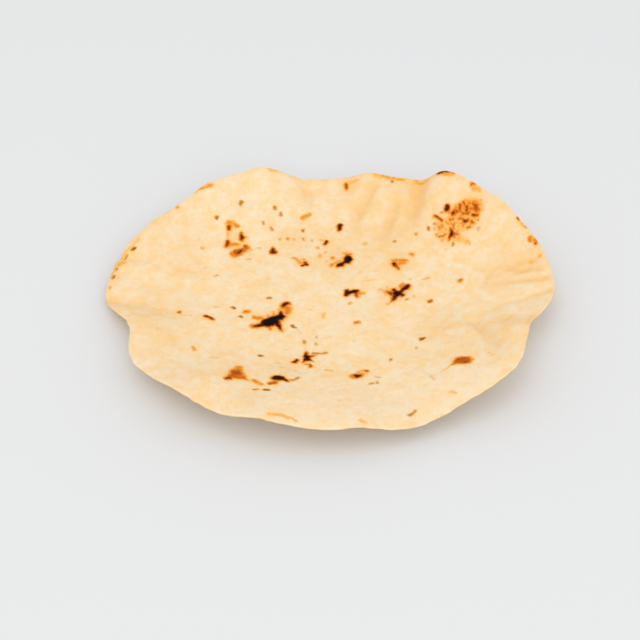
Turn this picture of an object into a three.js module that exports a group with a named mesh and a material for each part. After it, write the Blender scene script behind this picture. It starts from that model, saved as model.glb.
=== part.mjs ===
// A bhakri: a thin unleavened flatbread, baked as one piece. It lies flat in the middle and has curled up
// all round into a shallow dish. Its back edge is ruffled, and its front edge rolls over until it is level.
//
// Millimetres, +Z up. +X is the bread's right and +Y its ruffled back edge. Every shape below is worked out
// on a plain disc, at a share of the way from the middle (0) to the rim (1) and at a turn round the middle,
// which is counted in degrees anticlockwise from +X, seen from above.
import * as THREE from "three";

// Driving dimensions
const halfWidth = 100;
const halfDepth = 88;
const middleThickness = 3;
const rimThickness = 2.2;
const restingShare = 0.38; // the middle of the underside, which lies flat on the table
const rimLift = 9.8; // the underside's height at the rim, before the ruffles
const frontRoll = 3; // how strongly the front edge rolls over, where 0 is not at all
const ruffleFade = 10; // how quickly a narrow ruffle dies out towards the middle

// Where the rim stands higher or lower than rimLift, by how many millimetres, and how many degrees wide.
const ruffles = [
  { at: 38, wide: 23, lift: 11 }, // the tall back right side
  { at: 51, wide: 8, lift: 5 }, // its crest
  { at: 76, wide: 6, lift: 3 },
  { at: 92, wide: 12, lift: -2 }, // the dip in the middle of the back
  { at: 112, wide: 10, lift: 8 }, // the back left crest
  { at: 128, wide: 9, lift: 6 }, // its shoulder
  { at: 176, wide: 16, lift: -6 }, // the low left end
  { at: -130, wide: 8, lift: 3.5 },
  { at: -107, wide: 7, lift: 3 },
  { at: -83, wide: 6, lift: 1.5 },
  { at: -67, wide: 13, lift: -4 }, // the low front
  { at: -31, wide: 19, lift: 5 },
];

// Where the rim is drawn in towards the middle, seen from above.
const tucks = [
  { at: -163, wide: 12, depth: 10.5 },
  { at: -20, wide: 13, depth: 8.8 },
];

// How finely the disc is divided
const segments = 84;
const topRings = [0.14, 0.27, restingShare, 0.46, 0.54, 0.61, 0.68, 0.75, 0.81, 0.87, 0.92, 0.96, 1];
const undersideRings = topRings.filter((share) => share >= restingShare);
const edgeSteps = 4;

// 1 at the middle of a ruffle or tuck, falling smoothly to 0 away from it.
function nearness(turn, { at, wide }) {
  const apart = THREE.MathUtils.euclideanModulo(turn - at + 180, 360) - 180;
  return Math.exp(-((apart / wide) ** 2));
}

// The distance from the middle to the rim, seen from above.
function reach(turn) {
  const angle = THREE.MathUtils.degToRad(turn);
  const ellipse = 1 / Math.hypot(Math.cos(angle) / halfWidth, Math.sin(angle) / halfDepth);
  return tucks.reduce((sum, tuck) => sum - tuck.depth * nearness(turn, tuck), ellipse);
}

// The height of the underside: flat as far as restingShare, then rising to the rim. A narrow ruffle dies out
// sooner towards the middle than a wide one. The front rises sooner and levels off again at its edge.
function undersideHeight(share, turn) {
  const climb = Math.max(0, (share - restingShare) / (1 - restingShare));
  const frontness = Math.max(0, -Math.sin(THREE.MathUtils.degToRad(turn)));
  let height = rimLift * climb ** 2;
  for (const ruffle of ruffles) {
    height += ruffle.lift * nearness(turn, ruffle) * climb ** (1.6 + ruffleFade / ruffle.wide);
  }
  return height * (1 + frontRoll * frontness * (1 - share));
}

function thickness(share) {
  return THREE.MathUtils.lerp(middleThickness, rimThickness, share ** 2);
}

// The profile of the plain disc, from the middle of its underside round the edge to the middle of its top.
// x is the share of the way to the rim and y the share of the thickness. The round edge has shares over 1:
// what is over 1 is how far it stands out past the rim, in rim thicknesses.
function discProfile() {
  const underside = undersideRings.map((share) => new THREE.Vector2(share, 0));
  const top = topRings.map((share) => new THREE.Vector2(share, 1)).reverse();
  const edge = [];
  for (let step = 1; step < edgeSteps; step++) {
    const angle = Math.PI * (step / edgeSteps - 0.5);
    edge.push(new THREE.Vector2(1 + Math.cos(angle) / 2, (1 + Math.sin(angle)) / 2));
  }
  return [new THREE.Vector2(0, 0), ...underside, ...edge, ...top, new THREE.Vector2(0, 1)];
}

// Moves each vertex of the plain disc to its place on the curled bread.
function curl(disc) {
  const places = disc.getAttribute("position");
  for (let i = 0; i < places.count; i++) {
    const radius = Math.hypot(places.getX(i), places.getZ(i));
    const turn = THREE.MathUtils.radToDeg(Math.atan2(-places.getZ(i), places.getX(i)));
    const share = Math.min(radius, 1);
    const overhang = (radius - share) * rimThickness;
    const distance = share * reach(turn) + overhang;
    const height = undersideHeight(share, turn) + places.getY(i) * thickness(share);
    const angle = THREE.MathUtils.degToRad(turn);
    places.setXYZ(i, distance * Math.cos(angle), distance * Math.sin(angle), height);
  }
  disc.computeVertexNormals();
}

// Puts the origin on the table, under the middle of the bread's bounding box.
function standOnOrigin(geometry) {
  geometry.computeBoundingBox();
  const { min, max } = geometry.boundingBox;
  geometry.translate(-(min.x + max.x) / 2, -(min.y + max.y) / 2, -min.z);
}

const crust = new THREE.MeshStandardMaterial({ color: 0xf6dbb0, roughness: 0.85, metalness: 0 });

const breadGeometry = new THREE.LatheGeometry(discProfile(), segments);
curl(breadGeometry);
standOnOrigin(breadGeometry);

const bhakri = new THREE.Mesh(breadGeometry, crust);
bhakri.name = "bhakri";

const bread = new THREE.Group();
bread.add(bhakri);

export default bread;
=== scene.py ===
"""A bhakri, a thin unleavened flatbread, scorched on a griddle and curled up into a shallow dish.

The bread starts as a ball of dough, is pressed flat, and is then curled, folded, blistered and scorched.
Lengths in the lists and formulas below are millimetres. Places are plan places, seen from above, with +X
to the bread's right and +Y to its ruffled back edge. A turn is counted in degrees anticlockwise from +X,
and a share runs from the middle of the bread (0) to its rim (1).
"""

import math
from itertools import chain

import bpy
import numpy as np
from bpy.props import FloatProperty, FloatVectorProperty, IntProperty, PointerProperty
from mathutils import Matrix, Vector, noise


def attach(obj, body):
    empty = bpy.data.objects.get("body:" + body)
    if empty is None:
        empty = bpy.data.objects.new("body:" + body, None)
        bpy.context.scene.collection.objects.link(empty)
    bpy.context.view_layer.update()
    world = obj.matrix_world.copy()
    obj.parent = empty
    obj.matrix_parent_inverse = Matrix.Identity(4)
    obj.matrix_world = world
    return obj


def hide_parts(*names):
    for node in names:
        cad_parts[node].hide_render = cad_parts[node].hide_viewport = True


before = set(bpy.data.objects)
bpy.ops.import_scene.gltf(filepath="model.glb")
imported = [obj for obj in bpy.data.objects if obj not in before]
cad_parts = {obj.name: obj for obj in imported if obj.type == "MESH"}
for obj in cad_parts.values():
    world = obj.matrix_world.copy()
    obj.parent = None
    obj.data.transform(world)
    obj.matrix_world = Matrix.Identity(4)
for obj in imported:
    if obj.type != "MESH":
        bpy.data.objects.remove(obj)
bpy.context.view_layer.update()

bl_info = {
    "name": "Bhakri",
    "version": (1, 0, 0),
    "blender": (4, 5, 0),
    "location": "3D View > Sidebar > Bhakri",
    "description": "Makes a scorched, curled flatbread and a pale stage to show it on",
    "category": "Add Mesh",
}

MM = 0.001

# Where the rim stands higher or lower than its usual height: the turn, how many degrees wide, and the lift.
RUFFLES = (
    (38, 23, 11),
    (51, 8, 5),
    (76, 6, 3),
    (92, 12, -2),
    (112, 10, 8),
    (128, 9, 6),
    (176, 16, -6),
    (-130, 8, 3.5),
    (-107, 7, 3),
    (-83, 6, 1.5),
    (-67, 13, -4),
    (-31, 19, 5),
)

# Where the rim is drawn in towards the middle: the turn, how many degrees wide, and the depth.
TUCKS = ((-163, 12, 10.5), (-20, 13, 8.8), (-139, 8, 1.8), (-55, 9, 1.8))

# Folds in the sheet: the depth at the outer end (a ridge is below 0), the half width, and the way from the
# outer end to the inner end, where the fold has died out.
FOLDS = (
    (3.0, 5.2, (46, 76), (43, 65), (39, 51), (34, 37)),
    (-0.8, 6, (52, 66), (47, 56)),
    (-0.8, 3.5, (37, 71), (34.5, 60), (31, 48)),
    (2.2, 3.2, (34, 67), (29.6, 55), (26, 44), (23, 30)),
    (-0.8, 4, (25.5, 75), (22, 62), (18, 48)),
    (2.6, 3.4, (23, 80), (19.5, 73), (15, 63), (12, 52), (10, 38)),
    (1.0, 2.5, (-9.5, 82), (-9.4, 72), (-8, 62)),
    (1.6, 3, (-12, 86), (-9, 76), (-6, 66)),
    (1.0, 3.5, (-40, 76), (-34, 60)),
    (1.8, 5, (-98, -4), (-80, -7), (-58, -11)),
    (1.2, 3.5, (-94, 26), (-76, 24)),
    (2.0, 3.2, (63.5, -20), (66, -29), (68, -40), (67, -50), (62, -58)),
    (-1.4, 5, (79, -34), (74, -22)),
)

# Fine wrinkles in the top, written the same way. Most of them lie near the right end of the rim.
WRINKLES = (
    (0.85, 1.8, (97.5, 4), (88, 5.7), (75.5, 7), (65, 9)),
    (0.85, 1.7, (97, -5), (87.5, -6.2), (82, -7), (76, -9)),
    (0.7, 1.7, (95, 17.2), (87, 16.6), (79, 14), (70, 8.5)),
    (0.7, 1.6, (95, 11), (85, 13), (77, 21)),
    (0.5, 1.4, (93.5, 14.8), (89, 12), (83, 9.8), (77, 8.5)),
    (0.6, 1.4, (69.5, 6), (72, 11), (74.5, 15), (79, 17), (84, 19)),
    (0.5, 1.3, (83, -7.5), (77.5, -8), (72, -11.5), (65, -11.5)),
    (0.6, 1.4, (78.5, -20), (74, -25.5), (67, -26.5)),
    (0.6, 1.6, (86, -25), (82.5, -32), (80, -38)),
    (0.35, 1.6, (-81, 38), (-76, 32.5), (-71, 27)),
    (0.35, 1.4, (-68, 20.5), (-60, 19), (-51, 17.5)),
    (0.4, 2.0, (-84, -15), (-78, -16), (-71, -10)),
    (0.35, 2.0, (-68, -24), (-64.5, -34), (-60, -42)),
    (0.3, 1.4, (52, -22), (40, -19), (27, -21)),
    (0.3, 1.5, (-44, 8), (-34, 12), (-22, 11)),
)

# Scorch marks on top, each a burn from 0 (none) to 1 (black) or a little more, a half width, and the way it
# runs.
MAIN_MARKS = (
    # the big black mark, left of the middle, with its orange fringe
    (1.14, 2.8, (-26, -16.2), (-24.6, -15)),
    (1.1, 1.9, (-24, -14), (-20.6, -12.4)),
    (1.0, 1.0, (-20, -12.6), (-19.4, -12.4)),
    (0.5, 1.2, (-32.5, -12.2), (-29, -13.1)),
    (0.54, 1.6, (-32.4, -18.6), (-30, -18.1)),
    (0.5, 1.5, (-20, -5.2), (-17.6, -6.4), (-17.8, -9.4)),
    (1.08, 0.8, (-19.8, -4.4), (-18.3, -3.2)),
    # the cluster at the back left
    (0.4, 1.3, (-48.2, 52.8), (-46.4, 53.2), (-44.4, 51.8)),
    (0.6, 1.0, (-43.9, 51.4)),
    (0.95, 0.9, (-47.4, 50.8), (-47.3, 48.8)),
    (0.3, 0.8, (-47.6, 47.5), (-47.5, 43.4)),
    (1.0, 1.0, (-41.2, 45.5), (-41.1, 43.4)),
    (0.9, 0.9, (-47.6, 41.4), (-47.8, 38.6)),
    (0.45, 1.4, (-46.4, 39.6), (-43.1, 39.8)),
    (0.47, 2.4, (-43.9, 33.2), (-42, 34)),
    (0.62, 2.3, (-42.8, 34.2), (-40.8, 36)),
    (0.54, 1.8, (-40.4, 36), (-38.4, 38)),
    (0.9, 1.1, (-41.7, 34.7), (-40.8, 35.7)),
    (0.78, 1.0, (-39.2, 39.4), (-39, 38.2)),
    # the black triangle and the small V right of it
    (1.0, 1.3, (-26, 35.4), (-25.2, 35.3)),
    (0.98, 0.9, (-25.7, 37.2)),
    (0.45, 0.9, (-15.9, 30.8), (-14.8, 30.2), (-13.2, 28.1)),
    (0.42, 0.8, (-11.5, 30.5), (-10.6, 28.6)),
    (0.98, 0.9, (-11.9, 25.2), (-9.9, 25.7), (-10.8, 27.6)),
    (0.35, 1.2, (-12.8, 27.5), (-11.5, 26.8)),
    # the black mark behind the middle, with its orange spots
    (1.08, 2.0, (9.6, 31), (9.5, 29)),
    (1.1, 1.2, (6.2, 26), (5, 25.6)),
    (1.05, 0.8, (8.2, 28), (6.8, 26.8)),
    (0.66, 1.1, (9, 34), (10, 34)),
    (0.4, 1.2, (8, 35), (10.5, 34.8)),
    (0.6, 0.8, (2.3, 31.8), (2.1, 30.6)),
    (0.42, 1.1, (1.3, 25.2), (2.2, 26.6)),
    (0.38, 1.2, (3.6, 27.5), (5.8, 29.4)),
    # the oval above it, and the slanting mark at its left
    (1.0, 1.3, (6.1, 56), (5.7, 52.9)),
    (1.06, 0.7, (-0.4, 44.2), (-1.4, 41.8)),
    # the bow in the middle
    (1.12, 1.0, (8.5, 6.2), (8, 2.6)),
    (1.12, 1.3, (8.8, 4.4), (11.6, 5.3)),
    (1.12, 1.1, (11.6, 5.6), (12.7, 6)),
    (0.78, 0.9, (12.5, 4.4), (13, 2.4)),
    (0.42, 1.1, (13.8, 4.8), (16, 4.6)),
    # the long black mark right of the middle
    (1.1, 1.9, (31.2, 4.2)),
    (1.1, 0.9, (29.9, 7), (30.6, 5.8)),
    (1.1, 1.0, (33.2, 3.2)),
    (1.05, 0.75, (32.8, 5.2), (34.2, 7)),
    (1.12, 1.1, (34.6, 7.6), (36.2, 10)),
    (0.76, 1.4, (27.8, 4.8), (28.4, 4)),
    (0.42, 1.7, (27, 5.4), (28.6, 5)),
    (0.42, 1.3, (33.2, 9.6), (34.2, 11.2)),
    (0.36, 0.9, (26.5, -2.9)),
    # the dark hook behind it, with its orange field
    (1.1, 1.0, (30.7, 26)),
    (0.78, 0.8, (31.8, 25), (32.8, 22.6)),
    (0.45, 1.1, (30.4, 28.4), (32.5, 29)),
    (0.52, 1.0, (33.8, 28.6), (36.7, 28.2)),
    (0.42, 1.7, (33.5, 26.8), (35.5, 26.8)),
    (0.5, 1.0, (39.4, 32.2), (39.5, 31.6)),
    # the star at the front and the slanting mark beside it
    (1.08, 1.4, (-9.2, -39), (-8.8, -41)),
    (0.6, 0.8, (-9.6, -44.4)),
    (0.42, 0.7, (-8, -44.1)),
    (0.82, 0.8, (-7.8, -45.4), (-8, -46.5)),
    (1.0, 0.9, (-14.3, -43.3), (-13.2, -41.8)),
    # the flat black mark at the front, and its rust tails
    (1.08, 2.1, (-21, -56.2), (-19.8, -56.4)),
    (0.75, 0.9, (-23.6, -61.2), (-21.4, -60.4)),
    (0.5, 1.1, (-22, -59.2), (-20.5, -59)),
    (0.48, 1.0, (-30.3, -58.6), (-28.7, -60.6), (-27.2, -61.6)),
    # the rust triangle at the front left
    (0.52, 1.7, (-37, -51.6), (-37.1, -53)),
    (0.62, 2.6, (-37.8, -54.2), (-36.9, -54.4)),
    (0.56, 2.2, (-39, -56.8), (-35.4, -56.4)),
    (0.7, 1.5, (-37.2, -54.2), (-37.4, -55.2)),
    (0.66, 0.6, (-37.8, -49.8), (-36, -49.7)),
    (0.95, 0.9, (-40, -58.8), (-41, -59.6)),
    # the dark brown mark at the front, edged in orange
    (0.94, 1.1, (11, -52.3), (12.6, -52)),
    (0.46, 1.6, (9.8, -52.6), (13.6, -51.6)),
    (0.42, 0.7, (12.2, -49.8), (14.4, -48)),
    (0.9, 0.7, (15.4, -48.9)),
    # the red-brown mark at the front right
    (0.6, 2.9, (54, -48.7), (55.6, -49)),
    (0.62, 1.6, (52.4, -49.8), (54, -50.8), (56.4, -51)),
    (0.9, 0.8, (51.6, -49.4), (53, -48)),
    (0.86, 0.7, (54.2, -49.4), (55.2, -48.8)),
    (0.86, 0.7, (54.8, -51.2), (56.4, -51)),
    (0.46, 1.2, (57.4, -49.4)),
    # the orange dot at the right
    (0.56, 1.2, (59.8, 11.1), (60.6, 11.8)),
)

# Small scorch marks on top, written the same way.
SMALL_MARKS = (
    (0.42, 1.2, (-12.5, 60.5), (-11, 62), (-9, 63.5)),
    (0.55, 0.7, (-12, 61)),
    (0.42, 0.7, (-3, 45.4)),
    (0.34, 0.7, (-4.8, 39.4)),
    (0.36, 0.9, (-3.6, 33)),
    (0.25, 0.8, (-0.7, 28.9)),
    (0.22, 1.4, (17.9, 42.4)),
    (0.2, 0.8, (14.9, 20.2)),
    (0.18, 0.6, (21.3, 21), (23.6, 21.2)),
    (0.18, 0.6, (16.4, 13.6), (22.2, 14.5)),
    (0.25, 0.7, (37.6, 14.6)),
    (0.3, 0.6, (43.5, 14), (46, 15)),
    (0.4, 0.7, (9.7, -2.6)),
    (0.62, 0.8, (11.4, -16), (13.3, -15.6)),
    (0.24, 1.0, (-2.2, -9.8), (-2.2, -12.3)),
    (0.16, 1.2, (-8.5, -7)),
    (0.6, 0.9, (-37, -8.5), (-35.3, -8.2)),
    (1.05, 0.8, (-53.5, -13.3), (-50.8, -14.9)),
    (0.76, 0.9, (-65.5, -10.5), (-65.4, -11)),
    (0.18, 0.8, (-50.5, -5.5), (-48.5, -5)),
    (0.42, 0.8, (-57, -37), (-56, -39)),
    (0.2, 0.8, (-49, -43.5), (-46, -44)),
    (0.28, 0.8, (-0.8, -48.5), (1, -48.4)),
    (0.34, 0.5, (48, -67.6), (49.7, -68.6)),
    (0.22, 0.6, (48.9, -52.6), (45.9, -54.4)),
    (0.36, 0.6, (-23.5, -83.5), (-19.5, -83.5), (-16.5, -84), (-13, -85.5)),
    (0.3, 0.8, (12, -84.5), (13, -85)),
)

# Dull brown specks on top, written the same way.
SPECKS = (
    (0.8, 0.4, (31, -78), (33.6, -75.4)),
    (0.95, 0.6, (-90.3, 31.4), (-91, 30)),
    (0.6, 0.4, (-93.5, 27.3), (-94.3, 24.6)),
    (0.7, 0.4, (-94.6, 22.4), (-96, 20.4)),
    (0.8, 0.5, (-96.9, 18.2), (-97, 17.4)),
    (0.8, 0.5, (-97.6, 12.3)),
    (0.35, 0.6, (-98.2, 5)),
    (0.8, 0.4, (32.3, 80.5)),
    (0.6, 0.4, (44, 78.9), (45, 78.7)),
    (0.6, 0.5, (71, 60.1)),
    (0.6, 0.5, (72.4, 59.2)),
    (0.8, 0.7, (-53.7, 55.5)),
    (0.62, 0.9, (-42.2, 65.7), (-42.4, 64.6)),
    (0.52, 0.8, (-22.9, 61)),
    (0.3, 0.5, (23.6, 7.4), (25, 6.9)),
    (0.25, 0.5, (26.8, 9)),
    (0.6, 0.5, (72.6, 53.4)),
    (0.35, 0.7, (-59.6, 35.8), (-59, 35.8)),
    (0.7, 0.5, (-25.7, 64.1)),
    (0.6, 0.5, (-31.3, 55.2)),
    (0.5, 0.5, (-27.6, 52.9), (-26.7, 50.4)),
    (0.8, 0.6, (-11.8, 51.9)),
    (0.65, 0.5, (-4.8, 39.4)),
    (0.5, 0.6, (-3.6, 33)),
    (0.35, 0.5, (-1.2, 35.8)),
    (0.45, 0.5, (-22.8, 44.7)),
    (0.5, 0.5, (-19.2, 45.3)),
    (0.35, 0.5, (-16.1, 45.3)),
    (0.45, 0.5, (-11.6, 45.6)),
    (0.4, 0.5, (-7.5, 44.9)),
    (0.5, 0.5, (31.9, 41.8)),
    (0.5, 0.5, (42.1, 45.6)),
    (0.3, 0.5, (38.5, 2.3)),
    (0.5, 0.5, (34.7, 0), (35.9, 0.7)),
    (0.8, 0.6, (45, -1.5), (46, -1)),
    (0.5, 0.4, (45, 14.6), (46.5, 15.2)),
    (0.5, 0.5, (9.7, -2.6)),
    (0.45, 0.5, (-5.5, -30.5)),
    (0.4, 0.6, (-5.2, -25.7)),
    (0.5, 0.6, (-10.5, -28.9)),
    (0.95, 0.5, (-15.6, -17.8), (-14.4, -19.2)),
    (0.75, 0.5, (-27, 1), (-26.2, 0.9)),
    (0.8, 0.6, (-38.7, -11.4), (-37.9, -12.1)),
    (0.85, 0.6, (-42.7, -5.1), (-41.7, -5.9)),
    (0.4, 0.4, (-51.9, 17.3), (-50.8, 18.1)),
    (0.35, 0.5, (-33.5, 38.5), (-32.1, 38.3)),
    (0.35, 0.5, (-37.6, 30.2), (-36.2, 30.1)),
    (0.25, 0.4, (-63.6, -13.4), (-59.9, -13.4)),
    (1.0, 0.7, (39.4, -28.5), (40.4, -28)),
    (0.15, 0.5, (-14.9, -18.8), (-11.8, -22.9), (-10.3, -28.4), (-9.7, -34.8)),
    (0.2, 0.5, (-22.4, -44), (-19.6, -44.4)),
    (0.2, 0.5, (-20, -47.3), (-16.4, -47.8)),
    (0.22, 0.5, (-16.6, -49.3), (-12.8, -49.7)),
    (0.2, 0.5, (-12.6, -51.5), (-9.4, -51.2)),
    (0.85, 0.5, (-28.8, -39.2), (-27.6, -39.1)),
    (0.75, 0.4, (-29.6, -65.4), (-28.4, -65.4)),
    (0.95, 0.5, (-25.8, -65.8), (-24.1, -66.1)),
    (0.4, 0.5, (37.1, -34.5)),
    (0.65, 0.5, (25.8, -41.2)),
    (0.3, 0.5, (40.9, -56.2), (42.1, -58.6)),
    (0.35, 0.4, (19.2, -52.6), (20.9, -52.9)),
    (0.6, 0.4, (16.6, -57.3), (17.9, -57)),
    (0.55, 0.4, (19.5, -56.4)),
    (0.6, 0.5, (-6.5, -37), (-4, -36.5), (-0.8, -36.4)),
    (0.6, 0.5, (-16.4, -57.4), (-14.7, -58), (-12.4, -55.9)),
    (0.7, 0.6, (48.2, 47.3)),
    (0.6, 0.4, (54.4, 53.9), (55.8, 53.6)),
    (0.55, 0.4, (51.3, 49.6), (52.7, 48.1)),
    (0.4, 0.5, (51.1, 46.6)),
    (0.6, 0.5, (65.1, 55.5), (65.8, 53.9)),
    (0.5, 0.5, (72.8, 52.6), (72.6, 51.8)),
    (0.6, 0.4, (69.5, 45.7), (70.9, 45.4)),
    (0.6, 0.4, (68.2, 45.1), (68.1, 44.4)),
    (0.55, 0.4, (67.9, 42.9), (67.8, 42.3)),
    (0.6, 0.4, (57.1, 48.9), (59.1, 49.4), (61.1, 49), (63, 48.3)),
    (0.5, 0.4, (58.3, 47), (59.7, 47.6), (61, 47.4), (62.5, 46.1)),
    (0.5, 0.6, (62, 37.8)),
    (0.6, 0.5, (58.8, 35.3)),
    (0.3, 0.6, (71, 40.3)),
)

# The strokes of the speckled patch at the back right, written the same way.
PATCH_MARKS = (
    (1.0, 1.2, (57.4, 55.4), (57.3, 54.2)),
    (0.9, 0.7, (51.4, 53), (52.9, 51.8), (54.6, 49.6)),
    (0.52, 0.8, (53.2, 47), (53.1, 45.2)),
    (1.0, 0.9, (59.7, 51.9), (60.7, 52)),
    (0.75, 0.8, (61.2, 52.3), (61.8, 52.8)),
    (0.84, 0.7, (63.4, 54.7), (63.6, 52.5)),
    (0.8, 0.6, (65.1, 55.5), (65.8, 53.9)),
    (0.84, 0.8, (66.5, 53), (66.2, 51)),
    (0.78, 0.6, (64.5, 50.6), (67.4, 49.8)),
    (0.68, 1.3, (70.6, 52.4), (70.7, 50.4)),
    (0.84, 0.7, (70.6, 51), (70.9, 50)),
    (0.62, 0.7, (71.2, 49.8), (72.4, 49.3)),
    (0.42, 0.7, (72.8, 52.6), (72.6, 51.8)),
    (1.02, 0.7, (69.1, 48.1), (70.9, 47.7)),
    (0.86, 0.6, (63, 48.6), (64.6, 47.7)),
    (0.9, 0.8, (64.9, 46), (66.3, 46.4)),
    (0.42, 0.9, (63.7, 43.5), (64.6, 44.3)),
    (0.4, 0.8, (63.9, 42)),
    (1.0, 1.1, (58.5, 42), (58.5, 41)),
    (0.8, 0.8, (57.8, 39.9), (57.1, 39)),
    (0.5, 0.7, (60.6, 41.9), (61.6, 42.3)),
    (0.42, 0.7, (59.9, 38.4)),
    (0.44, 0.7, (62, 37.8)),
    (0.38, 0.6, (64.8, 36.1), (66.6, 33.8)),
    (0.34, 2.4, (62, 53.4), (66, 55), (70.5, 53.6)),
    (0.28, 3.0, (61.5, 51), (69, 50)),
    (0.15, 2.4, (54.4, 49.4), (54, 45)),
    (0.16, 2.4, (58.4, 39.6), (65, 36)),
)

# Marks on the rim, on top of it and round its edge, written the same way.
RIM_MARKS = (
    (0.8, 0.5, (-64, 68)),
    (0.5, 0.6, (-64.6, 67.8), (-60.6, 69.6), (-56.7, 71.3)),
    (0.7, 0.5, (-72.8, 59.6)),
    (0.34, 0.6, (-93.5, 22.5), (-95.4, 20.8)),
    # a golden-brown line along the left rim: partly real browning, partly painted shadow of the rim
    (0.22, 0.8, (-88.4, 37), (-93.6, 29.9), (-97.4, 20), (-98.6, 12)),
    (0.3, 0.7, (-95.1, 12.1)),
    (0.22, 1.2, (-28.5, 84), (-25.6, 84.6)),
    (0.82, 0.9, (9.6, 80.6), (9.2, 83.6)),
    (0.24, 1.2, (10, 84), (15, 84)),
    (0.3, 0.9, (23.5, 84.9), (26.4, 84)),
    (0.5, 0.6, (27, 84), (33, 82.6), (38.7, 80.4)),
    (0.4, 0.7, (43.5, 78), (49, 75.2)),
    (1.14, 0.6, (54, 73.8), (58, 72.4), (61.7, 70.2)),
    (0.46, 0.6, (57, 71), (61, 69.2)),
    (0.85, 0.5, (69.2, 62.8), (70.4, 62.2)),
    (0.32, 1.2, (69.7, 60.6), (71.8, 59.6)),
    (0.9, 0.3, (88.6, 40.6), (89.2, 39.4)),
    (0.75, 0.3, (90.4, 37)),
    (0.95, 0.3, (91.6, 34.8)),
    (0.6, 1.0, (93, 29.2), (92.8, 27.4)),
    (0.5, 0.9, (94.6, 27.6), (95, 25)),
    (0.9, 0.5, (94.9, 25)),
    (0.5, 0.6, (96.4, 17.9)),
    (0.24, 1.4, (92.1, 15.8)),
)

# The arms of the marks, written the same way. An arm narrows to a point at its last place.
ARMS = (
    (1.05, 1.5, (-26.5, -17.2), (-29, -17.8), (-33.4, -18.4)),
    (1.1, 1.3, (-22.8, -15.5), (-21.6, -18.3), (-20, -21.8)),
    (0.62, 1.1, (-25.6, -14), (-26.6, -10.4)),
    (0.62, 1.1, (-23.3, -13), (-24.6, -8.6)),
    (0.8, 1.0, (-25.6, -17.5), (-25, -20.5)),
    (1.15, 1.2, (-20.4, -12), (-20.9, -8)),
    (0.95, 0.9, (-41.2, 45.8), (-41.3, 48.6)),
    (0.75, 0.8, (-40.8, 44.8), (-38.6, 45)),
    (0.36, 0.9, (-38.2, 36.8), (-34.5, 36.9)),
    (1.0, 1.0, (-25.8, 37), (-26.1, 39.8)),
    (0.98, 1.0, (-26.4, 35.3), (-27.3, 34.2)),
    (0.98, 1.0, (-24.9, 35.3), (-24.1, 34.2)),
    (1.0, 1.4, (30.6, 3.2), (28.2, -1.6)),
    (1.05, 1.2, (-9.3, -38.8), (-9.6, -35.6)),
    (1.0, 1.1, (-8.8, -39.4), (-5.4, -38)),
    (1.05, 1.2, (-8.8, -40.6), (-6.4, -42.2)),
    (1.05, 1.2, (-9.2, -40.6), (-10.8, -43.2)),
    (1.02, 1.6, (-19.4, -56.4), (-16, -58.8)),
    (0.5, 1.8, (-36.4, -55), (-32.4, -59.2)),
    (0.62, 1.4, (52.2, -49.8), (49.4, -51.7)),
    (0.95, 1.0, (58.5, 41.8), (58.5, 45.4)),
    (0.95, 1.0, (58.8, 41.7), (61, 41.2)),
    (0.8, 1.0, (58.2, 41), (56.6, 38.4)),
)

# Glows of toast, or pale places where the strength is below 0: the strength, the radius and the place.
GLOWS = (
    (0.75, 8, (-25, -13)),
    (0.75, 7, (-44, 42)),
    (0.5, 8, (-16, 46)),
    (0.7, 8, (4, 30)),
    (0.65, 6, (30, 6)),
    (0.9, 5, (33, 27)),
    (0.8, 4, (-13, 28)),
    (0.8, 5, (11, 80)),
    (0.9, 10, (61, 46)),
    (1.1, 6, (68, 52)),
    (0.7, 4, (59, 40)),
    (0.5, 4, (54, 48)),
    (0.5, 5, (-38, -52)),
    (0.45, 5, (-20, -55)),
    (0.4, 4, (12, -52)),
    (0.5, 4, (56, -49)),
    (0.45, 14, (42, 62)),
    (0.5, 12, (34, 80)),
    (0.55, 14, (30, 37)),
    (0.45, 12, (2, 40)),
    (0.3, 9, (48, 40)),
    (0.35, 9, (-11, -40)),
    (0.3, 10, (-22, -48)),
    (0.4, 12, (81, 22)),
    (0.35, 16, (-79, 36)),
    (0.6, 6, (-94, 22)),
    (0.5, 5, (-97, 13)),
    (0.4, 10, (-62, 22)),
    (0.35, 14, (-72, 2)),
    (0.3, 12, (13, 66)),
    (0.45, 16, (82, 14)),
    (0.3, 14, (72, -34)),
    (0.3, 12, (50, -20)),
    (-0.4, 16, (-45, 74)),
    (-0.5, 18, (-4, -74)),
    (-0.7, 16, (24, -72)),
    (-0.6, 16, (58, -60)),
    (0.25, 9, (-66, -34)),
    (-0.4, 9, (88, -12)),
    (-0.4, 12, (-50, 8)),
)

# Where the scorch marks have a stronger orange fringe, written the same way.
FRINGES = (
    (0.4, 9, (-27, -14)),
    (0.35, 5, (-18, -6)),
    (0.35, 7, (-43, 36)),
    (0.12, 5, (-47, 50)),
    (0.2, 6, (6, 29)),
    (0.25, 6, (28, 5)),
    (0.16, 5, (36, 8)),
    (0.2, 4, (14, 5)),
    (0.25, 5, (33, 27)),
    (0.15, 5, (70, 51)),
    (0.15, 4, (59, 39)),
    (0.35, 6, (-38, -54)),
    (0.2, 5, (-23, -59)),
    (0.2, 5, (12, -51)),
    (0.2, 6, (54, -49)),
)


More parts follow.
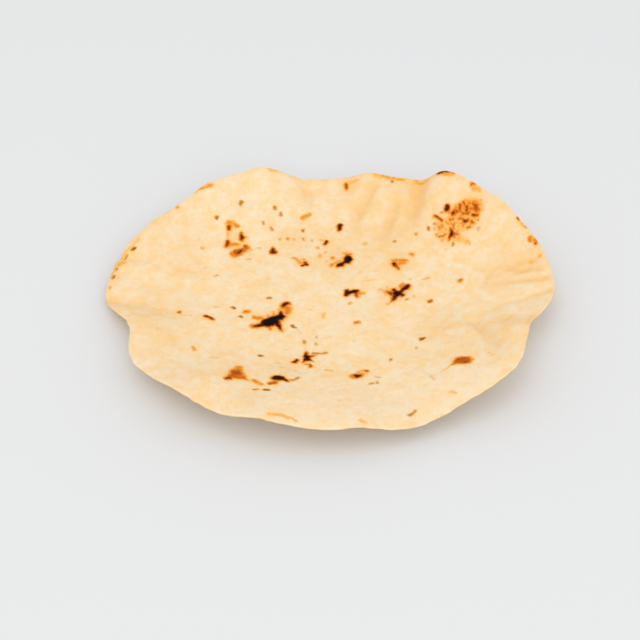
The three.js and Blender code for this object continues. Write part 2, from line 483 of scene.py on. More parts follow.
class BreadShape(bpy.types.PropertyGroup):
    """The sizes of the bread."""

    half_width: FloatProperty(
        name="Half width", description="From the middle to the rim along X, before the edge is rounded",
        default=0.100, min=0.05, max=0.2, unit="LENGTH")
    half_depth: FloatProperty(
        name="Half depth", description="From the middle to the rim along Y, before the edge is rounded",
        default=0.088, min=0.05, max=0.2, unit="LENGTH")
    middle_thickness: FloatProperty(
        name="Middle thickness", description="Thickness in the middle",
        default=0.003, min=0.001, max=0.01, unit="LENGTH")
    rim_thickness: FloatProperty(
        name="Rim thickness", description="Thickness at the rim",
        default=0.0022, min=0.001, max=0.01, unit="LENGTH")
    resting_share: FloatProperty(
        name="Resting share", description="Share of the way out as far as which the underside lies flat",
        default=0.38, min=0.1, max=0.8, subtype="FACTOR")
    rim_lift: FloatProperty(
        name="Rim lift", description="Usual height of the underside at the rim",
        default=0.0098, min=0.0, max=0.05, unit="LENGTH")
    front_roll: FloatProperty(
        name="Front roll", description="How strongly the front edge rolls over",
        default=3.0, min=0.0, max=6.0)
    ruffle_fade: FloatProperty(
        name="Ruffle fade", description="How quickly a narrow ruffle dies out towards the middle",
        default=10.0, min=0.0, max=30.0)
    cuts: IntProperty(
        name="Cuts", description="Cuts along each edge of the dough, before each square is cut in four",
        default=63, min=10, max=63)
    blisters: IntProperty(
        name="Blisters", description="Number of small blisters on each side",
        default=260, min=0, max=1000)


class BreadColours(bpy.types.PropertyGroup):
    """The colours of the crust, of its specks and of its scorch marks."""

    crumb: FloatVectorProperty(
        name="Crumb", description="Cream of the untoasted crust",
        default=(0.90, 0.64, 0.345), subtype="COLOR", min=0, max=1)
    flour: FloatVectorProperty(
        name="Flour", description="Pale dust of flour on the crust",
        default=(0.87, 0.70, 0.47), subtype="COLOR", min=0, max=1)
    # this warm tone also paints the shade in the folds and wrinkles
    toast_and_crease_shade: FloatVectorProperty(
        name="Toast", description="Warm tone of the lightly toasted crust",
        default=(0.84, 0.50, 0.17), subtype="COLOR", min=0, max=1)
    gold: FloatVectorProperty(
        name="Gold", description="Dull gold edge of the small specks",
        default=(0.66, 0.28, 0.04), subtype="COLOR", min=0, max=1)
    speck: FloatVectorProperty(
        name="Speck", description="Dull brown of the small specks",
        default=(0.15, 0.042, 0.004), subtype="COLOR", min=0, max=1)
    tan: FloatVectorProperty(
        name="Tan", description="Golden tan edge of a scorch mark",
        default=(0.88, 0.46, 0.12), subtype="COLOR", min=0, max=1)
    amber: FloatVectorProperty(
        name="Amber", description="Orange of a light scorch mark",
        default=(0.79, 0.25, 0.022), subtype="COLOR", min=0, max=1)
    rust: FloatVectorProperty(
        name="Rust", description="Rust of a scorch mark",
        default=(0.48, 0.10, 0.006), subtype="COLOR", min=0, max=1)
    brown: FloatVectorProperty(
        name="Brown", description="Dark brown of a scorch mark",
        default=(0.085, 0.013, 0.001), subtype="COLOR", min=0, max=1)
    char: FloatVectorProperty(
        name="Char", description="Black middle of a burnt mark",
        default=(0.006, 0.0025, 0.002), subtype="COLOR", min=0, max=1)


class StageLook(bpy.types.PropertyGroup):
    """The floor, the lights and the camera."""

    floor_size: FloatProperty(
        name="Floor size", description="Length of the floor's sides",
        default=12.0, min=1.0, max=50.0, unit="LENGTH")
    floor_colour: FloatVectorProperty(
        name="Floor colour", description="Colour of the floor",
        default=(0.74, 0.745, 0.75), subtype="COLOR", min=0, max=1)
    sky: FloatProperty(
        name="Sky", description="Strength of the even light from all round",
        default=0.9, min=0.0, max=5.0)
    key_power: FloatProperty(
        name="Key light", description="Power of the large soft light above the bread",
        default=9.0, min=0.0, max=500.0, unit="POWER")
    key_place: FloatVectorProperty(
        name="Key place", description="Where the light above the bread hangs",
        default=(-0.75, -0.45, 3.0), subtype="TRANSLATION", unit="LENGTH")
    fill_power: FloatProperty(
        name="Fill light", description="Power of the large soft light in front of the bread",
        default=20.0, min=0.0, max=500.0, unit="POWER")
    fill_place: FloatVectorProperty(
        name="Fill place", description="Where the light in front of the bread stands",
        default=(0.3, -2.25, 1.35), subtype="TRANSLATION", unit="LENGTH")
    light_size: FloatProperty(
        name="Light size", description="Width of each round soft light",
        default=2.4, min=0.1, max=10.0, unit="LENGTH")
    lens: FloatProperty(
        name="Lens", description="Focal length of the camera",
        default=60.0, min=20.0, max=200.0, unit="CAMERA")
    camera_place: FloatVectorProperty(
        name="Camera place", description="Where the camera stands",
        default=(-0.0038, -0.3717, 0.3031), subtype="TRANSLATION", unit="LENGTH")
    camera_tilt: FloatProperty(
        name="Camera tilt", description="How far the camera is turned up from looking straight down",
        default=math.radians(50), min=0.0, max=math.radians(90), subtype="ANGLE")


# Shaping

SEED_STEP = (17.31, 5.17, 9.73)  # how far apart the noise of one seed is read from that of the next
SLOWEST_FADE = 1.6  # the power by which even a very wide ruffle dies out towards the middle
FULL_DEPTH = 0.2  # the share of its way over which a fold or wrinkle keeps its full depth

# Layers of smooth noise, each a height, a grain and a seed
WAVES = ((0.8, 34, 3), (0.45, 15, 4), (0.22, 7, 5))
SKIN = ((0.16, 4.2, 7), (0.07, 1.9, 8))
MARK_SHIFT_X = ((0.5, 2.6, 12), (0.4, 1.3, 13))
MARK_SHIFT_Y = ((0.6, 2.6, 14), (0.5, 1.3, 15))


def nearness(turn, at, wide):
    """1 at the middle of a ruffle or tuck, falling smoothly to 0 away from it."""
    apart = (turn - at + 180) % 360 - 180
    return np.exp(-((apart / wide) ** 2))


def ease(value, start, end):
    """0 before start and 1 after end, with a smooth step between."""
    x = np.clip((value - start) / (end - start), 0, 1)
    return x * x * (3 - 2 * x)


def lumps(points, grain, seed):
    """Smooth noise from about -1 to 1 at each point, with lumps about one grain apart."""
    shift = Vector([seed * step for step in SEED_STEP])
    return np.array([noise.noise(Vector(p) / grain + shift) for p in points.tolist()])


def layered(points, layers):
    """Layers of smooth noise, added up."""
    return sum(height * lumps(points, grain, seed) for height, grain, seed in layers)


def rim_lumps(turn, per_radian, seed):
    """Smooth noise round the rim, with about that many lumps in each radian."""
    angle = np.radians(turn)
    circle = np.column_stack((np.cos(angle), np.sin(angle), np.zeros_like(angle)))
    return lumps(circle * per_radian, 1, seed)


def from_path(x, y, path):
    """How far each place is from a way through one or more points, and the share of the way nearest to it."""
    if len(path) == 1:
        return np.hypot(x - path[0][0], y - path[0][1]), np.zeros_like(x)
    steps = [math.dist(a, b) for a, b in zip(path, path[1:])]
    nearest = np.full_like(x, np.inf)
    share = np.zeros_like(x)
    done = 0.0
    for (ax, ay), (bx, by), step in zip(path, path[1:], steps):
        along = ((x - ax) * (bx - ax) + (y - ay) * (by - ay)) / step**2
        along = np.clip(along, 0, 1)
        far = np.hypot(x - ax - along * (bx - ax), y - ay - along * (by - ay))
        closer = far < nearest
        nearest = np.where(closer, far, nearest)
        share = np.where(closer, (done + along * step) / sum(steps), share)
        done += step
    return nearest, share


class Sheet:
    """The curled sheet of dough, in millimetres."""

    def __init__(self, shape):
        self.half_width = shape.half_width / MM
        self.half_depth = shape.half_depth / MM
        self.middle = shape.middle_thickness / MM
        self.edge = shape.rim_thickness / MM
        self.rest = shape.resting_share
        self.lift = shape.rim_lift / MM
        self.roll = shape.front_roll
        self.fade = shape.ruffle_fade

    def reach(self, turn):
        """The distance from the middle to the rim, seen from above."""
        angle = np.radians(turn)
        far = 1 / np.hypot(np.cos(angle) / self.half_width, np.sin(angle) / self.half_depth)
        for at, wide, depth in TUCKS:
            far = far - depth * nearness(turn, at, wide)
        return far

    def height(self, share, turn):
        """The height of the underside, before folds and blisters."""
        climb = np.clip((share - self.rest) / (1 - self.rest), 0, None)
        up = self.lift * climb**2
        for at, wide, lift in RUFFLES:
            up = up + lift * nearness(turn, at, wide) * climb ** (SLOWEST_FADE + self.fade / wide)
        front = np.clip(-np.sin(np.radians(turn)), 0, None)
        return up * (1 + self.roll * front * (1 - share))

    def thickness(self, share):
        """How thick the sheet is."""
        return self.middle + (self.edge - self.middle) * share**2


def valleys(x, y, ways):
    """How far the folds or wrinkles lower the dough."""
    down = np.zeros_like(x)
    for depth, wide, *path in ways:
        far, share = from_path(x, y, path)
        down += depth * np.exp(-((far / wide) ** 2)) * (1 - ease(share, FULL_DEPTH, 1))
    return down


def blisters(x, y, reach, count, seed):
    """How far small round blisters raise a side."""
    dice = np.random.default_rng(seed)
    up = np.zeros_like(x)
    for _ in range(count):
        turn = dice.uniform(-math.pi, math.pi)
        out = math.sqrt(dice.uniform(0, 0.95)) * reach
        radius = dice.uniform(1.2, 4.2)
        height = dice.uniform(0.05, 0.09) * radius
        far = np.hypot(x - out * math.cos(turn), y - out * math.sin(turn)) / radius
        up = np.maximum(up, height * np.clip(1 - far**2, 0, None) ** 1.5)
    return up


# Scorching

EDGE = 1.1  # how far past its edge a scorch mark starts to darken, and
CORE = 1.2  # how far inside its edge it is at its darkest
HALO = 3.2  # how far past its edge its orange fringe ends
BLUNT = 0.15  # how much narrower the last place of a mark is than its first, as a share, and
POINTED = 0.95  # the same of an arm
PUFF = 0.32  # how far a black mark puffs the crust up,
PUFF_EDGE = 1.6  # how far past the mark's edge the puff starts, and
PUFF_CORE = 0.8  # how far inside its edge it is full

BARE_FRINGE = 0.1  # the orange fringe of the top's marks away from the places in FRINGES
UNDER_FRINGE = 0.3  # the orange fringe of the underside's marks
MOST_FRINGE = 0.6  # the strongest that either fringe gets

PATCH_MIDDLE = (61.5, 47)  # the speckled patch at the back right,
PATCH_REACH = (10.5, 7.5)  # how far it reaches to each side of its middle along X and Y, and
PATCH_SLANT = 0.4  # how far it climbs along Y for each millimetre along X


def strokes(x, y, marks, narrowing):
    """The burn of each mark, and how far inside its edge each place is."""
    for burn, wide, *path in marks:
        far, share = from_path(x, y, path)
        yield burn, wide * (1 - narrowing * share) - far


def scorch(x, y, fringe, marks, arms=()):
    """How scorched each place is, from 0 to 1 (black) or a little more, for a fringe from 0 (none) up."""
    heat = np.zeros_like(x)
    for burn, inside in chain(strokes(x, y, marks, BLUNT), strokes(x, y, arms, POINTED)):
        body = ease(inside, -EDGE, CORE)
        edging = fringe * burn * (1 - body) * ease(inside, -HALO, CORE)
        heat = np.maximum(heat, burn * (body + edging))
    return heat


def scorch_relief(x, y, marks):
    """How far the scorch marks puff the crust up."""
    up = np.zeros_like(x)
    for burn, inside in strokes(x, y, marks, BLUNT):
        up = np.maximum(up, PUFF * burn * ease(inside, -PUFF_EDGE, PUFF_CORE))
    return up


def random_place(dice, reach, filled=1.0):
    """A random place on a disc, anywhere in that share of its area round the middle."""
    turn = dice.uniform(0, 2 * math.pi)
    out = reach * math.sqrt(dice.uniform(0, filled))
    return out * math.cos(turn), out * math.sin(turn)


def further(start, slant, length):
    """The place at that slant and length from the start."""
    x, y = start
    return x + length * math.cos(slant), y + length * math.sin(slant)


def speckles(count, seed):
    """The small marks between the strokes of the speckled patch."""
    dice = np.random.default_rng(seed)
    marks = []
    for _ in range(count):
        across, deep = random_place(dice, 1)
        x = PATCH_REACH[0] * across
        y = PATCH_REACH[1] * deep + PATCH_SLANT * x
        start = (PATCH_MIDDLE[0] + x, PATCH_MIDDLE[1] + y)
        slant = dice.uniform(-0.9, 1.4)
        length = dice.uniform(0, 2.0)
        burn = dice.uniform(0.4, 0.9)
        wide = dice.uniform(0.3, 0.5)
        marks.append((burn, wide, start, further(start, slant, length)))
    return tuple(marks)


def drawn_out(marks, length):
    """The same marks, with each lone place drawn out to that length from front to back."""
    for burn, wide, *path in marks:
        if len(path) == 1:
            ((x, y),) = path
            path = ((x, y + length / 2), (x, y - length / 2))
        yield burn, wide, *path


def freckles(reach, count, seed):
    """The faint specks that are scattered all over the top."""
    dice = np.random.default_rng(seed)
    marks = []
    for _ in range(count):
        place = random_place(dice, reach)
        burn = dice.uniform(0.05, 0.22)
        wide = dice.uniform(0.4, 0.7)
        marks.append((burn, wide, place))
    return tuple(marks)


def underside_marks(reach, clusters, lone_marks, seed):
    """Scorch marks on the underside: clusters of short strokes, and small lone marks between them."""
    dice = np.random.default_rng(seed)
    filled = 0.92  # of the area inside the reach
    loose = 1.8  # how far a cluster's strokes usually start from its middle
    marks = []
    for _ in range(clusters):
        x, y = random_place(dice, reach, filled)
        burn = dice.uniform(0.4, 1.1)
        for _ in range(dice.integers(1, 6)):
            start = (x + dice.normal(0, loose), y + dice.normal(0, loose))
            slant = dice.uniform(0, 2 * math.pi)
            length = dice.uniform(0, 4.5)
            stroke_burn = burn * dice.uniform(0.6, 1)
            wide = dice.uniform(0.5, 1.5)
            marks.append((stroke_burn, wide, start, further(start, slant, length)))
    for _ in range(lone_marks):
        burn = dice.uniform(0.2, 0.9)
        wide = dice.uniform(0.4, 0.9)
        marks.append((burn, wide, random_place(dice, reach, filled)))
    return tuple(marks)


def glow(x, y, glows):
    """How toasted the crust is, where 0 is plain crust and below 0 is paler."""
    warm = np.zeros_like(x)
    for strength, radius, (at_x, at_y) in glows:
        warm += strength * np.exp(-((np.hypot(x - at_x, y - at_y) / radius) ** 2))
    return warm


# Mesh helpers


def deselect_all():
    """Leaves nothing selected, because an operator acts on all that is."""
    bpy.ops.object.select_all(action="DESELECT")


def dough_ball(name, cuts):
    """A closed cube whose faces are cut into a grid, which becomes a ball of evenly spaced squares."""
    deselect_all()
    bpy.ops.mesh.primitive_cube_add(size=2)
    ball = bpy.context.object
    ball.name = name
    ball.data.name = name
    bpy.ops.object.mode_set(mode="EDIT")
    bpy.ops.mesh.select_all(action="SELECT")
    bpy.ops.mesh.subdivide(number_cuts=cuts)
    bpy.ops.mesh.subdivide(number_cuts=1)
    bpy.ops.object.mode_set(mode="OBJECT")
    return ball


def places_of(piece):
    """The places of a mesh's vertices."""
    flat = np.empty(len(piece.data.vertices) * 3)
    piece.data.vertices.foreach_get("co", flat)
    return flat.reshape(-1, 3)


def store(piece, name, values):
    """Keeps one number for each vertex, for the material to read."""
    layer = piece.data.attributes.new(name, "FLOAT", "POINT")
    layer.data.foreach_set("value", np.asarray(values, np.float32))


# The bread

EQUATOR = 105.0  # degrees from the top of the dough ball where its top side ends, so most squares are on top
EDGE_ANGLE = 4.0  # degrees of the dough ball, each way from there, that become the rounded rim
RISING = 0.25  # past the resting part, the share of the way out over which the folds and waves set in
CALM_FROM = 0.85  # the share from which the waves grow weaker towards the rim, and
CALM_RIM = 0.6  # how much weaker they are there, as a share
MIDDLE_WAVES = 0.7  # how much of the waves the top keeps in the middle, where the underside lies flat
UNEVEN_FROM = 0.7  # the share from which the plan grows uneven towards the rim
UNEVEN_THICKNESS = 0.16  # how much the thickness varies at the rim, as a share
TAPER = 0.93  # the share where the bread starts to taper towards its rim,
TOP_TAPER = 0.25  # how far its top has come down at the rim, and
UNDER_TAPER = 0.6  # how far its underside has come up there
RIM_RELIEF = 0.35  # how much of its relief the top keeps at the rim
DEEPEST_PIT = 0.5  # how far the underside's relief may sink into the bread
SLOPE_STEP = 0.02  # the share over which the slope at the rim is measured
BLISTERED_REACH = 92  # the reach that the small blisters are scattered over,
FRECKLED_REACH = 86  # the freckles on top, and
UNDERSIDE_REACH = 88  # the underside's marks


class Disc:
    """The dough pressed into a disc: where each vertex of the ball comes to lie, seen from above."""

    def __init__(self, ball, sheet):
        # the squares of the cube's faces, evenly spaced on the ball
        spread = np.tan(places_of(ball) * math.pi / 4)
        way = spread / np.linalg.norm(spread, axis=1)[:, None]
        polar = np.degrees(np.arccos(np.clip(way[:, 2], -1, 1)))
        self.turn = np.degrees(np.arctan2(way[:, 1], way[:, 0]))
        self.on_top = polar < EQUATOR

        # each side spread out flat, so that equal areas stay equal, and the edge round the equator
        from_pole = np.where(self.on_top, polar, 180 - polar)
        flat_part = np.where(self.on_top, EQUATOR, 180 - EQUATOR) - EDGE_ANGLE
        full = np.sin(np.radians(flat_part) / 2)
        self.share = np.sin(np.radians(np.minimum(from_pole, flat_part)) / 2) / full
        self.on_edge = from_pole > flat_part
        self.edge_tilt = np.radians(np.clip((EQUATOR - polar) / EDGE_ANGLE, -1, 1) * 90)

        # the plan, with a rim that is a little uneven
        uneven = 0.5 * rim_lumps(self.turn, 8, seed=1) + 0.4 * rim_lumps(self.turn, 26, seed=2)
        self.reach = sheet.reach(self.turn) + uneven * ease(self.share, UNEVEN_FROM, 1)
        angle = np.radians(self.turn)
        self.out_x, self.out_y = np.cos(angle), np.sin(angle)
        self.x = self.share * self.reach * self.out_x
        self.y = self.share * self.reach * self.out_y
        self.plan = np.column_stack((self.x, self.y, np.zeros_like(self.x)))
        self.back = np.clip(self.out_y + 0.25, 0, 1)  # from 0 along the front to 1 along the back


def curl(disc, sheet, blister_count, marks, folded, wrinkled):
    """The places of the vertices on the curled bread, with its waves, folds, blisters and rounded rim."""
    share, turn, x, y = disc.share, disc.turn, disc.x, disc.y

    # the sheet, which bends as one
    raised = ease(share, sheet.rest, sheet.rest + RISING)
    waves = layered(disc.plan, WAVES) * (1 - CALM_RIM * ease(share, CALM_FROM, 1))
    sheet_up = sheet.height(share, turn) + raised * (waves - folded)

    # each side's own relief
    thin = sheet.thickness(share) * (1 + UNEVEN_THICKNESS * rim_lumps(turn, 9, seed=6) * share)
    taper = np.clip((share - TAPER) / (1 - TAPER), 0, None) ** 2
    inner = 1 - ease(share, TAPER, 1)
    skin = layered(disc.plan, SKIN)
    top_relief = (1 - raised) * MIDDLE_WAVES * waves + skin - wrinkled
    top_relief += blisters(x, y, BLISTERED_REACH, blister_count, seed=3) + scorch_relief(x, y, marks)
    under_relief = (blisters(x, y, BLISTERED_REACH, blister_count, seed=5) - skin) * raised
    under_relief = np.maximum(under_relief, -DEEPEST_PIT)
    top = sheet_up + thin - TOP_TAPER * taper + top_relief * (RIM_RELIEF + (1 - RIM_RELIEF) * inner)
    under = sheet_up + UNDER_TAPER * taper - under_relief * inner

    # the rim, rounded along the slope of the sheet
    at_rim = np.ones_like(turn)
    slope = (sheet.height(at_rim, turn) - sheet.height(at_rim - SLOPE_STEP, turn)) / (SLOPE_STEP * disc.reach)
    middle, half = (top + under) / 2, (top - under) / 2
    out = half * np.cos(disc.edge_tilt) * disc.on_edge
    rounded = middle + half * np.sin(disc.edge_tilt) + out * slope
    height = np.where(disc.on_edge, rounded, np.where(disc.on_top, top, under))
    return np.column_stack((x + out * disc.out_x, y + out * disc.out_y, height))


def bake(disc, marks):
    """How scorched and how specked each vertex is, read a little to the side so that no mark is straight,
    with some painted shadow in the darkened left rim.
    """
    x = disc.x + layered(disc.plan, MARK_SHIFT_X)
    y = disc.y + layered(disc.plan, MARK_SHIFT_Y)
    top, under = disc.on_top, ~disc.on_top
    fringe = np.where(top, BARE_FRINGE + glow(disc.x, disc.y, FRINGES), UNDER_FRINGE)
    fringe = np.clip(fringe * (1 + 0.7 * lumps(disc.plan, 4.5, seed=18)), 0, MOST_FRINGE)
    under_marks = underside_marks(UNDERSIDE_REACH, clusters=34, lone_marks=90, seed=23) + RIM_MARKS
    burnt = np.zeros_like(x)
    burnt[top] = scorch(x[top], y[top], fringe[top], marks, ARMS)
    burnt[under] = scorch(x[under], y[under], fringe[under], under_marks)

    # the edge of the rim, lightly scorched along the back; at the left it is darkened, partly as real
    # browning and partly as painted shadow
    left = nearness(disc.turn, at=162, wide=26)
    rim_scorch_and_shadow = disc.back * (0.03 + 0.12 * rim_lumps(disc.turn, 18, seed=10))
    rim_scorch_and_shadow += left * (0.05 + 0.2 * rim_lumps(disc.turn, 30, seed=16))
    burnt = np.maximum(burnt, rim_scorch_and_shadow * ease(disc.share, 0.985, 1))

    dull_marks = tuple(drawn_out(SPECKS, length=1)) + freckles(FRECKLED_REACH, count=110, seed=11)
    specks = np.where(top, scorch(x, y, 0, dull_marks), 0)
    return burnt, specks


def toast_and_crease_shade(disc, folded, wrinkled):
    """How toasted each vertex is, with painted shade added along the folds and wrinkles of the top, where 0
    is plain crust and below 0 is paler.
    """
    # the valleys of the folds and wrinkles darken and warm the crust: painted shade, added to the real toast
    top = glow(disc.x, disc.y, GLOWS) + 0.3 * np.clip(folded, 0, 3) + 1.1 * wrinkled
    under = 0.55 + 0.9 * lumps(disc.plan, 22, seed=9)
    rim = ease(disc.share, 0.955, 1) * (0.1 + 0.4 * disc.back)
    return np.clip(np.where(disc.on_top, top, under) + rim, -1, 1.5)


def press_and_curl(ball, shape):
    """Presses the ball of dough into a disc, curls it, and gives it its folds, blisters and scorch marks."""
    sheet = Sheet(shape)
    disc = Disc(ball, sheet)
    marks = MAIN_MARKS + SMALL_MARKS + RIM_MARKS + PATCH_MARKS + speckles(count=70, seed=7)
    folded = valleys(disc.x, disc.y, FOLDS)
    wrinkled = valleys(disc.x, disc.y, WRINKLES)
    placed = curl(disc, sheet, shape.blisters, marks, folded, wrinkled)
    low, high = placed.min(axis=0), placed.max(axis=0)
    placed -= ((low[0] + high[0]) / 2, (low[1] + high[1]) / 2, low[2])
    ball.data.vertices.foreach_set("co", (placed * MM).ravel())
    ball.data.update()
    burnt, specks = bake(disc, marks)
    store(ball, "scorch", burnt)
    store(ball, "specks", specks)
    # this value also holds the painted shade of the folds and wrinkles
    store(ball, "toast_and_crease_shade", toast_and_crease_shade(disc, folded, wrinkled))


# Materials


# The sockets of a Mix node that blends colours, by number because its other sockets have the same names
MIX_SHARE, MIX_FIRST, MIX_SECOND, MIX_RESULT = 0, 6, 7, 2


class Nodes:
    """Adds nodes to a material and links them, from left to right."""

    def __init__(self, material):
        material.use_nodes = True
        self.tree = material.node_tree
        self.shader = self.tree.nodes["Principled BSDF"]
        self.places = self.add("ShaderNodeTexCoord").outputs["Object"]

    def add(self, kind, **settings):
        node = self.tree.nodes.new(kind)
        for name, value in settings.items():
            setattr(node, name, value)
        return node

    def join(self, source, socket):
        self.tree.links.new(source, socket)

    def feed(self, socket, value):
        """Sets a socket to a number or a colour, or links another node's output to it."""
        if isinstance(value, bpy.types.NodeSocket):
            self.join(value, socket)
        elif isinstance(value, (int, float)):
            socket.default_value = value
        else:
            socket.default_value = (*value, 1)

    def stored(self, name):
        return self.add("ShaderNodeAttribute", attribute_name=name).outputs["Fac"]

    def grain(self, size, detail, rough):
        """Noise from 0 to 1 whose lumps are about that many millimetres apart."""
        node = self.add("ShaderNodeTexNoise")
        self.join(self.places, node.inputs["Vector"])
        node.inputs["Scale"].default_value = 1 / (size * MM)
        node.inputs["Detail"].default_value = detail
        node.inputs["Roughness"].default_value = rough
        return node.outputs["Fac"]

    def maths(self, operation, *values, clamp=False):
        node = self.add("ShaderNodeMath", operation=operation, use_clamp=clamp)
        for socket, value in zip(node.inputs, values):
            self.feed(socket, value)
        return node.outputs["Value"]

    def spread(self, value, low, high, to_low=0.0, to_high=1.0):
        """Stretches a value from one range to another, with smooth ends."""
        node = self.add("ShaderNodeMapRange", interpolation_type="SMOOTHSTEP")
        self.join(value, node.inputs["Value"])
        node.inputs["From Min"].default_value = low
        node.inputs["From Max"].default_value = high
        node.inputs["To Min"].default_value = to_low
        node.inputs["To Max"].default_value = to_high
        return node.outputs["Result"]

    def blend(self, share, first, second):
        """The first colour where the share is 0, and the second where it is 1."""
        node = self.add("ShaderNodeMix", data_type="RGBA")
        self.feed(node.inputs[MIX_SHARE], share)
        self.feed(node.inputs[MIX_FIRST], first)
        self.feed(node.inputs[MIX_SECOND], second)
        return node.outputs[MIX_RESULT]

    def bump(self, height, distance, strength, below=None):
        node = self.add("ShaderNodeBump")
        self.join(height, node.inputs["Height"])
        node.inputs["Distance"].default_value = distance * MM
        node.inputs["Strength"].default_value = strength
        if below is not None:
            self.join(below, node.inputs["Normal"])
        return node.outputs["Normal"]


def crust_material(colours):
    """Dry, floury crust: cream, warmer where toasted and with painted shade in its folds and wrinkles, and
    orange, brown and black where scorched.
    """
    material = bpy.data.materials.new("scorched crust")
    nodes = Nodes(material)

    # cream, mottled with flour, and warmed by toast and by the painted shade of the folds and wrinkles
    mottle = nodes.grain(6, detail=4, rough=0.6)
    colour = nodes.blend(nodes.spread(mottle, 0.4, 0.6), colours.crumb, colours.flour)
    patch = nodes.grain(16, detail=3, rough=0.55)
    # the stored value is real toast plus painted shade along the folds and wrinkles
    toasted = nodes.maths("MULTIPLY_ADD", nodes.maths("SUBTRACT", patch, 0.5), 1.35, nodes.stored("toast_and_crease_shade"))
    colour = nodes.blend(nodes.maths("MULTIPLY", toasted, -0.9, clamp=True), colour, colours.flour)
    colour = nodes.blend(nodes.maths("MULTIPLY", toasted, 0.6, clamp=True), colour, colours.toast_and_crease_shade)
    fine = nodes.grain(2.2, detail=3, rough=0.6)
    colour = nodes.blend(nodes.spread(fine, 0.46, 0.68, to_high=0.24), colour, colours.toast_and_crease_shade)

    # dull specks
    specks = nodes.stored("specks")
    colour = nodes.blend(nodes.spread(specks, 0.0, 0.36), colour, colours.gold)
    colour = nodes.blend(nodes.spread(specks, 0.22, 0.8), colour, colours.speck)

    # scorch marks, ragged where they are neither bare nor black
    heat = nodes.stored("scorch")
    ragged = nodes.maths("SUBTRACT", nodes.grain(1.2, detail=3, rough=0.65), 0.5)
    loose = nodes.maths("MULTIPLY", heat, nodes.maths("SUBTRACT", 1.25, heat))
    burnt = nodes.maths("MULTIPLY_ADD", nodes.maths("MULTIPLY", ragged, loose), 1.0, heat)
    for tone, burn_at_start, burn_when_full in (
        (colours.tan, 0.02, 0.22),
        (colours.amber, 0.2, 0.42),
        (colours.rust, 0.4, 0.62),
        (colours.brown, 0.6, 0.84),
        (colours.char, 0.84, 1.08),
    ):
        colour = nodes.blend(nodes.spread(burnt, burn_at_start, burn_when_full), colour, tone)
    nodes.join(colour, nodes.shader.inputs["Base Color"])

    # the skin: fine pores over soft wrinkles
    pores = nodes.bump(nodes.grain(0.9, detail=3, rough=0.6), distance=0.25, strength=0.35)
    skin = nodes.bump(nodes.grain(3.0, detail=3, rough=0.55), distance=0.6, strength=0.3, below=pores)
    nodes.join(skin, nodes.shader.inputs["Normal"])
    roughness = nodes.spread(burnt, 0.5, 1.0, to_low=0.8, to_high=0.7)
    nodes.join(roughness, nodes.shader.inputs["Roughness"])
    nodes.shader.inputs["Specular IOR Level"].default_value = 0.05
    return material


def floor_material(colour):
    """Plain pale floor."""
    material = bpy.data.materials.new("pale floor")
    nodes = Nodes(material)
    nodes.shader.inputs["Base Color"].default_value = (*colour, 1)
    nodes.shader.inputs["Roughness"].default_value = 0.9
    nodes.shader.inputs["Specular IOR Level"].default_value = 0.1
    return material


# Operators


class MESH_OT_bhakri(bpy.types.Operator):
    """Makes the bread and its crust"""

    bl_idname = "mesh.bhakri_bread"
    bl_label = "Bread"

    def execute(self, context):
        bread = dough_ball("flatbread", context.scene.bread_shape.cuts)
        press_and_curl(bread, context.scene.bread_shape)
        bpy.ops.object.shade_smooth()
        bread.data.materials.append(crust_material(context.scene.bread_colours))
        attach(bread, "root")
        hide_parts("bhakri")
        return {"FINISHED"}


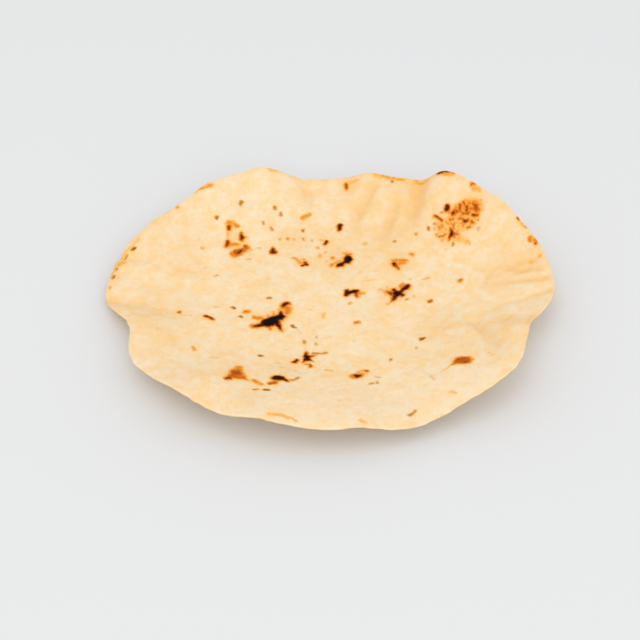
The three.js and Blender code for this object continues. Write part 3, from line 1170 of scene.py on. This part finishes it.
class SCENE_OT_bhakri_stage(bpy.types.Operator):
    """Makes the floor, the soft light and the camera"""

    bl_idname = "scene.bhakri_stage"
    bl_label = "Stage"

    def execute(self, context):
        look = context.scene.stage_look
        self.add_floor(look)
        self.add_light(context, look)
        self.add_camera(context, look)
        return {"FINISHED"}

    def add_floor(self, look):
        deselect_all()
        bpy.ops.mesh.primitive_plane_add(size=look.floor_size)
        floor = bpy.context.object
        floor.name = "floor"
        floor.data.materials.append(floor_material(look.floor_colour))

    def add_light(self, context, look):
        world = bpy.data.worlds.new("even sky")
        world.use_nodes = True
        background = world.node_tree.nodes["Background"]
        background.inputs["Color"].default_value = (1, 1, 1, 1)
        background.inputs["Strength"].default_value = look.sky
        context.scene.world = world
        size = look.light_size
        self.add_soft_light("soft key light", look.key_power, size, look.key_place, aim=(0, 0, 0))
        self.add_soft_light("soft fill light", look.fill_power, size, look.fill_place, aim=(0, -0.1, 0))

    def add_soft_light(self, name, power, size, place, aim):
        deselect_all()
        bpy.ops.object.light_add(type="AREA", location=place)
        light = bpy.context.object
        light.name = name
        light.data.shape = "DISK"
        light.data.size = size
        light.data.energy = power
        light.rotation_euler = (place - Vector(aim)).to_track_quat("Z", "Y").to_euler()

    def add_camera(self, context, look):
        deselect_all()
        bpy.ops.object.camera_add(location=look.camera_place, rotation=(look.camera_tilt, 0, 0))
        camera = bpy.context.object
        camera.name = "camera"
        camera.data.lens = look.lens
        camera.data.sensor_width = 36
        context.scene.camera = camera
        context.scene.view_settings.view_transform = "Standard"


class VIEW3D_PT_bhakri(bpy.types.Panel):
    """Lists the bread's sizes and colours, and the stage's"""

    bl_label = "Bhakri"
    bl_space_type = "VIEW_3D"
    bl_region_type = "UI"
    bl_category = "Bhakri"

    def draw(self, context):
        groups = (
            (MESH_OT_bhakri, context.scene.bread_shape, context.scene.bread_colours),
            (SCENE_OT_bhakri_stage, context.scene.stage_look),
        )
        for operator, *settings in groups:
            box = self.layout.box()
            for group in settings:
                for name in group.__annotations__:
                    box.prop(group, name)
            box.operator(operator.bl_idname)


CLASSES = (BreadShape, BreadColours, StageLook, MESH_OT_bhakri, SCENE_OT_bhakri_stage, VIEW3D_PT_bhakri)
SETTINGS = {"bread_shape": BreadShape, "bread_colours": BreadColours, "stage_look": StageLook}


def register():
    for kind in CLASSES:
        bpy.utils.register_class(kind)
    for name, kind in SETTINGS.items():
        setattr(bpy.types.Scene, name, PointerProperty(type=kind))


def unregister():
    for name in SETTINGS:
        delattr(bpy.types.Scene, name)
    for kind in reversed(CLASSES):
        bpy.utils.unregister_class(kind)


def main():
    register()
    bpy.ops.mesh.bhakri_bread()
    bpy.ops.scene.bhakri_stage()


if __name__ == "__main__":
    main()
